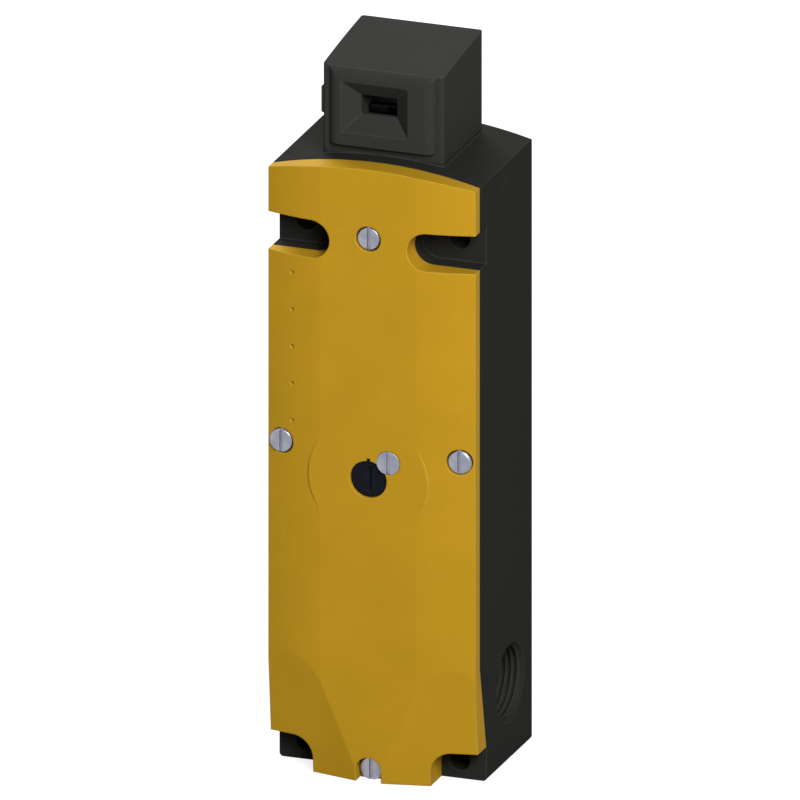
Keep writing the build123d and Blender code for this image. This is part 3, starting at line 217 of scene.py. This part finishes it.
def moulded_plastic(name, colour, speckle_wear_and_highlight_colour, gloss, grain_depth, edge_radius, specular):
    finish = Finish(name, specular=specular)
    soft = rounded_normal(finish, edge_radius)
    edge = edge_mask(finish, soft)
    grain = finish.noise(grain_size, detail=3.0, roughness=0.6)
    cloud = finish.between(finish.noise(cloud_size), 0.3, 0.7)
    scuff = finish.between(finish.noise(smear_size, detail=4.0, roughness=0.7), 0.62, 0.72)
    toned = finish.mix(cloud, scaled(colour, cloud_shade), colour)
    speckle = finish.between(grain, 0.35, 0.75) * speckle_share
    speckled = finish.mix(speckle, toned, speckle_wear_and_highlight_colour)
    scuffed = finish.mix(scuff * scuff_share, speckled, speckle_wear_and_highlight_colour)
    # Lighter edges: partly wear, partly a painted highlight along every edge.
    finish.set("Base Color", finish.mix(edge * edge_wear_and_highlight_share, scuffed, speckle_wear_and_highlight_colour))
    finish.set("Roughness", (1 - gloss) + (grain - 0.5) * 0.18 + scuff * 0.08 - edge * 0.08)
    add_bump(finish, grain, grain_depth, soft)
    return finish.material


case_black = moulded_plastic(
    "case_black", rgb(43, 43, 41), rgb(84, 84, 81),
    gloss=0.40, grain_depth=0.00006, edge_radius=case_edge, specular=0.002,
)
# The head uses the case's black plastic set lighter, so its well-lit front comes out brighter:
# painted light.
head_black = moulded_plastic(
    "head_black", rgb(53, 53, 51), rgb(92, 92, 89),
    gloss=0.42, grain_depth=0.00005, edge_radius=case_edge, specular=0.002,
)
cover_yellow = moulded_plastic(
    "cover_yellow", rgb(188, 145, 32), rgb(216, 176, 70),
    gloss=0.45, grain_depth=0.00004, edge_radius=case_edge, specular=0.03,
)
release_black = moulded_plastic(
    "release_black", rgb(22, 23, 30), rgb(58, 60, 70),
    gloss=0.50, grain_depth=0.00002, edge_radius=small_edge, specular=0.03,
)
inner_white = moulded_plastic(
    "inner_white", rgb(222, 219, 208), rgb(240, 238, 230),
    gloss=0.55, grain_depth=0.00002, edge_radius=small_edge, specular=0.25,
)
inner_grey = moulded_plastic(
    "inner_grey", rgb(96, 99, 102), rgb(140, 143, 146),
    gloss=0.50, grain_depth=0.00003, edge_radius=small_edge, specular=0.25,
)
print("plastics:", case_black.name, head_black.name, cover_yellow.name, release_black.name)

# %% [markdown]
# ## Plated and bare metals
# The screws are steel with a thin zinc plate, whose passivation turns it faintly blue and cloudy.
# Brass tarnishes in patches. All of them share one recipe: a metal colour that drifts between
# two tones, fine scratches from stretched noise, and brighter edges that are partly wear and partly a
# painted glint.

# %% Make the metals
patch_size = 0.0035
streak_stretch = 12.0
scratch_depth = 0.00001
wear_and_glint_gain = 1.35
wear_and_glint_edge_share = 0.6


def worked_metal(name, colour, second_colour, roughness, streak_size):
    finish = Finish(name, metallic=1.0)
    soft = rounded_normal(finish, small_edge)
    edge = edge_mask(finish, soft)
    inputs = {"Vector": finish.place, "Scale": (1.0, 1.0, streak_stretch)}
    stretched = finish.node("ShaderNodeMapping", None, inputs)["Vector"]
    inputs = {"Vector": stretched, "Scale": 1.0 / streak_size, "Detail": 3.0}
    streak = finish.node("ShaderNodeTexNoise", None, inputs)["Fac"]
    patch = finish.noise(patch_size, detail=3.0)
    toned = finish.mix(finish.between(patch, 0.35, 0.65), colour, second_colour)
    # Brighter edge colour: partly wear, partly a painted glint.
    wear_and_glint_colour = scaled(colour, wear_and_glint_gain)
    finish.set("Base Color", finish.mix(edge * wear_and_glint_edge_share, toned, wear_and_glint_colour))
    finish.set("Roughness", roughness + (streak - 0.5) * 0.22 + (patch - 0.5) * 0.16)
    add_bump(finish, streak, scratch_depth, soft)
    return finish.material


zinc_plate = worked_metal("zinc_plate", rgb(156, 156, 168), rgb(134, 136, 150), 0.36, 0.0009)
bright_steel = worked_metal("bright_steel", rgb(182, 182, 184), rgb(160, 160, 162), 0.28, 0.0008)
brass = worked_metal("brass", rgb(205, 168, 92), rgb(176, 136, 70), 0.30, 0.0008)
dark_steel = worked_metal("dark_steel", rgb(44, 44, 46), rgb(32, 32, 34), 0.50, 0.0008)
print("metals:", zinc_plate.name, bright_steel.name, brass.name, dark_steel.name)

# %% [markdown]
# ## Wound copper wire
# The winding on the solenoid's bobbin is hundreds of turns of enamelled wire laid side by side.
# The turns stack along the bobbin's axis, so a wave along Z is enough: its crests are the wires,
# its troughs the gaps between them, darkened with painted shade.

# %% Make the copper winding
wire_pitch = 0.00045
wire_height = 0.00012


def wound_copper(name):
    finish = Finish(name, metallic=0.85)
    upright = finish.node("ShaderNodeSeparateXYZ", None, {"Vector": finish.place})["Z"]
    turns = upright * (2 * math.pi / wire_pitch)
    wave = finish.node("ShaderNodeMath", {"operation": "SINE"}, {0: turns})[0]
    crest = finish.between(wave, -1.0, 1.0)
    patch = finish.between(finish.noise(0.003), 0.3, 0.7)
    wire = finish.mix(patch, rgb(176, 92, 44), rgb(150, 72, 34))
    # The troughs get a dark brown: painted shade in the gaps between the wires.
    finish.set("Base Color", finish.mix(crest, rgb(58, 24, 10), wire))
    finish.set("Roughness", 0.42 - crest * 0.14)
    inputs = {"Height": crest, "Distance": wire_height, "Strength": 1.0}
    finish.set("Normal", finish.node("ShaderNodeBump", None, inputs)["Normal"])
    return finish.material


copper_winding = wound_copper("copper_winding")
print("winding:", copper_winding.name)

# %% [markdown]
# ## Seal rubber
# Black nitrile rubber is dull, and after some time a pale bloom comes to its surface in clouds.
# So it gets a high roughness, a fine grain, and a slow noise that lifts the colour here and there.


# %% Make the seal rubber
def seal_rubber_finish(name):
    finish = Finish(name, specular=0.3)
    soft = rounded_normal(finish, small_edge)
    bloom = finish.between(finish.noise(0.004, detail=4.0), 0.4, 0.8)
    grain = finish.noise(0.0003)
    finish.set("Base Color", finish.mix(bloom * 0.5, rgb(30, 30, 31), rgb(62, 62, 63)))
    finish.set("Roughness", 0.74 + (grain - 0.5) * 0.12)
    add_bump(finish, grain, 0.00002, soft)
    return finish.material


seal_rubber = seal_rubber_finish("seal_rubber")
print("rubber:", seal_rubber.name)

# %% [markdown]
# ## Give every piece its finish
# The frame's pieces keep their shape and their place, and only their material slots change.
# The table reads like a parts list: each finish, then the pieces that are made of it.

# %% Dress the frame
finished_pieces = {
    case_black: ["housing"],
    head_black: ["head_casing", "key_plate", "side_plug"],
    cover_yellow: ["cover"],
    release_black: ["release_rotor"],
    zinc_plate: [
        "cover_screw_top", "cover_screw_left", "cover_screw_right", "cover_screw_foot", "seal_screw",
        "chassis_screws", "terminal_screws_1", "terminal_screws_2", "supply_screws", "solenoid_yoke",
    ],
    bright_steel: [
        "head_ring", "cam_shaft", "lock_collar", "lock_lever", "lever_pin", "release_slider",
        "fixed_core", "armature", "plunger_spring", "armature_spring", "contact_spring_1",
        "contact_spring_2", "chassis",
    ],
    dark_steel: ["plunger_cam", "key_disc_left", "key_disc_right"],
    brass: [
        "fixed_contacts_1", "fixed_contacts_2", "contact_bridge_1", "contact_bridge_2",
        "guide_bush_lower", "guide_bush_upper",
    ],
    copper_winding: ["coil_winding"],
    seal_rubber: ["cover_gasket", "head_seal", "release_seal"],
    inner_white: ["coil_bobbin", "contact_tappet_1", "contact_tappet_2", "plunger", "cross_bar"],
    inner_grey: ["contact_block_1", "contact_block_2", "supply_terminals"],
}

dressed = set()
for material, names in finished_pieces.items():
    for name in names:
        piece = nodes[name]
        if not piece.material_slots:
            piece.data.materials.append(material)
        for material_slot in piece.material_slots:
            material_slot.material = material
        dressed.add(name)
print("dressed:", len(dressed), "still bare:", sorted(set(nodes) - dressed))

# %% [markdown]
# ## Threads in the cable entries
# Each cable entry is tapped for a gland with a pitch of 1.5 mm. The frame has plain round bores,
# because a thread changes nothing in how the switch is held. Here it shows: light catches every
# turn. One ridge profile, a flat triangle, is drawn as a single face and wound up by the Screw
# modifier, which makes a true helix. Rings side by side would be easier but would not climb.

# %% Size the threads
mm = 0.001
thread_pitch = 1.5 * mm
thread_turns = 4
thread_start = 1.2 * mm
thread_steps = 48
bore_radius = 9.19 * mm
ridge_height = 0.28 * mm
ridge_half = 0.55 * mm
ridge_root = bore_radius + 0.05 * mm
ridge_tip = bore_radius - ridge_height
ridge_corners = ((ridge_root, 0, -ridge_half), (ridge_root, 0, ridge_half), (ridge_tip, 0, 0))
print("thread length:", round(thread_turns * thread_pitch, 4), "m")


# %% Wind one thread
def deselect_all():
    for piece in bpy.context.selected_objects:
        piece.select_set(False)


def entry_thread(name, mouth, turn):
    """Helical ridge that starts just inside the mouth of a bore and winds inwards."""
    deselect_all()
    bpy.ops.mesh.primitive_circle_add(vertices=3, radius=ridge_half, fill_type="NGON")
    ridge = bpy.context.active_object
    ridge.name = name
    for vertex, corner in zip(ridge.data.vertices, ridge_corners):
        vertex.co = corner
    winding = ridge.modifiers.new("winding", "SCREW")
    winding.axis = "Z"
    winding.screw_offset = thread_pitch
    winding.iterations = thread_turns
    winding.steps = thread_steps
    winding.render_steps = thread_steps
    winding.use_merge_vertices = True
    winding.use_smooth_shade = False
    bpy.ops.object.modifier_apply(modifier="winding")
    bpy.ops.object.mode_set(mode="EDIT")
    bpy.ops.mesh.select_all(action="SELECT")
    bpy.ops.mesh.normals_make_consistent(inside=False)
    bpy.ops.object.mode_set(mode="OBJECT")
    ridge.rotation_euler = turn
    ridge.location = mouth
    bpy.ops.object.transform_apply(location=True, rotation=True, scale=True)
    ridge.data.materials.append(case_black)
    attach(ridge, "case")
    print(ridge.name, "faces:", len(ridge.data.polygons))


# %% Put a thread into each entry
case_low, case_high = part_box("housing")
entry_y = 6.15 * mm
entry_z = 20.1 * mm
right_angle = math.pi / 2
right_mouth = (case_high.x - thread_start, entry_y, entry_z)
left_mouth = (case_low.x + thread_start, entry_y, entry_z)
foot_mouth = (0, entry_y, case_low.z + thread_start)
entry_thread("entry_thread_right", right_mouth, (0, -right_angle, 0))
entry_thread("entry_thread_left", left_mouth, (0, right_angle, 0))
entry_thread("entry_thread_foot", foot_mouth, (0, 0, 0))

# %% [markdown]
# ## The camera
# The photograph shows the switch from 20 degrees to the right and 20 degrees above, so far away
# that upright edges stay parallel. An orthographic camera does the same: its scale says how much
# of the world fits in the picture, and its distance changes nothing.

# %% Place the camera
pixels_per_mm = 4.08
picture_width = 800
azimuth = math.radians(20)
elevation = math.radians(20)
aim_right = 0.44
aim_up = 86.84
camera_distance = 0.6

view_right = Vector((math.cos(azimuth), math.sin(azimuth), 0))
level_forward = Vector((-math.sin(azimuth), math.cos(azimuth), 0))
view_forward = level_forward * math.cos(elevation) - Vector((0, 0, math.sin(elevation)))
view_up = view_right.cross(view_forward)
aim = view_right * aim_right * mm + view_up * aim_up * mm

camera_data = bpy.data.cameras.new("photo_camera")
camera_data.type = "ORTHO"
camera_data.ortho_scale = picture_width / pixels_per_mm * mm
camera_data.clip_end = 20
camera = bpy.data.objects.new("photo_camera", camera_data)
bpy.context.scene.collection.objects.link(camera)
camera.location = aim - view_forward * camera_distance
camera.rotation_euler = view_forward.to_track_quat("-Z", "Y").to_euler()
bpy.context.scene.camera = camera
print("picture covers", round(camera_data.ortho_scale, 4), "m")

# %% [markdown]
# ## The floor
# The background has to be white, yet the switch should still stand on something. The floor is a
# mid grey that glows white only for the rays that look at it, straight, in a mirror or through
# glass. Lamps still light the grey and the switch still darkens it, so a soft shadow stays.

# %% Lay the floor
floor_size = 12.0
floor_grey = 0.30
floor_glow = 0.82
deselect_all()
bpy.ops.mesh.primitive_plane_add(size=floor_size, location=(0, 0, 0))
floor = bpy.context.active_object
floor.name = "studio_floor"
bpy.ops.object.mode_set(mode="EDIT")
bpy.ops.mesh.subdivide(number_cuts=3)
bpy.ops.object.mode_set(mode="OBJECT")

floor_finish = Finish("studio_floor", specular=0.0)
floor_finish.set("Base Color", (floor_grey, floor_grey, floor_grey, 1.0))
floor_finish.set("Roughness", 1.0)
rays = floor_finish.node("ShaderNodeLightPath")
looking = rays["Is Camera Ray"] + rays["Is Glossy Ray"] + rays["Is Transmission Ray"]
floor_finish.set("Emission Color", floor_finish.between(looking, 0.0, 1.0))
floor_finish.set("Emission Strength", floor_glow)
floor.data.materials.append(floor_finish.material)
print("floor side:", floor_size, "m")

# %% [markdown]
# ## The world
# The world does two jobs. It fills the shadows a little from every side, and it is plain white
# wherever a ray looks past the floor, so that metal shows the same background as the camera.

# %% Colour the world
fill_strength = 0.05
world = bpy.data.worlds.new("studio")
bpy.context.scene.world = world
world.use_nodes = True
tree = world.node_tree
tree.nodes.clear()


def background(strength):
    """White sky of this strength, as the output of its node."""
    sky = tree.nodes.new("ShaderNodeBackground")
    sky.inputs["Color"].default_value = (1, 1, 1, 1)
    sky.inputs["Strength"].default_value = strength
    return sky.outputs[0]


def larger_of(first, second):
    larger = tree.nodes.new("ShaderNodeMath")
    larger.operation = "MAXIMUM"
    tree.links.new(first, larger.inputs[0])
    tree.links.new(second, larger.inputs[1])
    return larger.outputs[0]


path = tree.nodes.new("ShaderNodeLightPath").outputs
looking_past = larger_of(path["Is Camera Ray"], path["Is Glossy Ray"])
looking_past = larger_of(looking_past, path["Is Transmission Ray"])
choice = tree.nodes.new("ShaderNodeMixShader")
output = tree.nodes.new("ShaderNodeOutputWorld")
tree.links.new(looking_past, choice.inputs[0])
tree.links.new(background(fill_strength), choice.inputs[1])
tree.links.new(background(1.0), choice.inputs[2])
tree.links.new(choice.outputs[0], output.inputs["Surface"])
print("world fill:", fill_strength)

# %% [markdown]
# ## The lamps
# In the photograph the front is bright, the top a little darker and the right side darker still,
# while the right flank of the cover is brighter than its middle and the left flank darker. So the
# main lamp hangs a little to the right of the camera and above it. A lamp behind the switch lights
# its top and keeps its back readable from other views. Large lamps give soft edges to the shadows.

# %% Hang the lamps
middle = Vector((0, 0, 0.09))
lamp_distance = 1.4


def soft_lamp(name, azimuth_degrees, elevation_degrees, power, size):
    """Square lamp that hangs in this direction and points at the middle of the switch."""
    turn = math.radians(azimuth_degrees)
    rise = math.radians(elevation_degrees)
    level = Vector((math.sin(turn), -math.cos(turn), 0))
    towards = level * math.cos(rise) + Vector((0, 0, math.sin(rise)))
    lamp_data = bpy.data.lights.new(name, "AREA")
    lamp_data.energy = power
    lamp_data.size = size
    lamp = bpy.data.objects.new(name, lamp_data)
    bpy.context.scene.collection.objects.link(lamp)
    lamp.location = middle + towards * lamp_distance
    lamp.rotation_euler = (-towards).to_track_quat("-Z", "Y").to_euler()
    print(name, "power:", power)


soft_lamp("main_lamp", azimuth_degrees=34, elevation_degrees=33, power=22.0, size=0.6)
soft_lamp("back_lamp", azimuth_degrees=215, elevation_degrees=42, power=22.0, size=0.9)
bpy.context.scene.view_settings.view_transform = "Standard"
